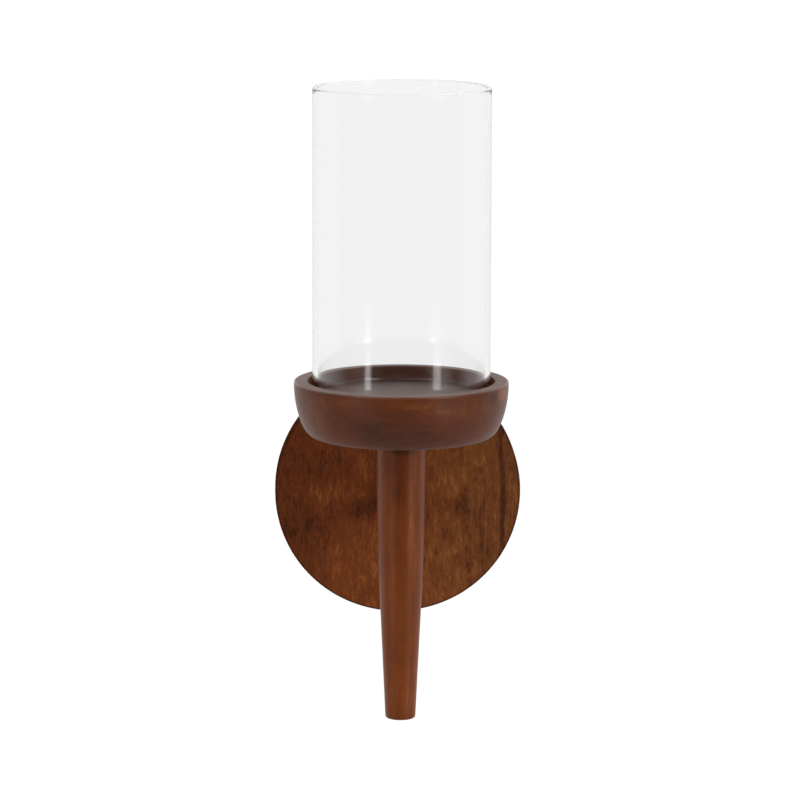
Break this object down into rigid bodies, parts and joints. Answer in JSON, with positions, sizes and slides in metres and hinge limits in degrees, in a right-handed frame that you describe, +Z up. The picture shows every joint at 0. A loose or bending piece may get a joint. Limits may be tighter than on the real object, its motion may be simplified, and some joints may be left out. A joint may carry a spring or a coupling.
{
  "type": "wall sconce candle holder",
  "caption": "Turned wood wall sconce: round backplate, tapering stem and shallow cup that seats an open clear glass sleeve around a pillar candle.",
  "frame": {"origin": "centre of the backplate's back face, which lies on the wall", "axes": "+Z up along the stem, +Y into the wall, +X to the right seen from the room"},
  "size_m": [0.15, 0.1446, 0.3792],
  "materials": {
    "plate_wood": "satin lacquer, open grain",
    "turned_wood": "satin lacquer",
    "pin_wood": "bare hardwood",
    "clear_glass": "clear, polished",
    "zinc_steel": "zinc plated",
    "insert_brass": "machined"
  },
  "bodies": {
    "sconce": {"backplate": "plate_wood", "spacer_arm": "turned_wood", "stem": "turned_wood", "cup": "turned_wood", "arm_bolt": "zinc_steel", "arm_bolt_washer": "zinc_steel", "stem_side_insert": "insert_brass", "arm_pin_rear": "pin_wood", "arm_pin_front": "pin_wood", "cup_stud": "zinc_steel", "cup_insert": "insert_brass", "stem_top_insert": "insert_brass", "keyhole_hanger_left": "zinc_steel", "keyhole_hanger_right": "zinc_steel", "hanger_screw_left_upper": "zinc_steel", "hanger_screw_left_lower": "zinc_steel", "hanger_screw_right_upper": "zinc_steel", "hanger_screw_right_lower": "zinc_steel"},
    "glass": {"glass_cylinder": "clear_glass"}
  },
  "joints": [
    {"name": "glass_lift", "type": "slide", "parent": "sconce", "child": "glass", "axis": [0, 0, 1], "range_m": [0, 0.05]}
  ]
}
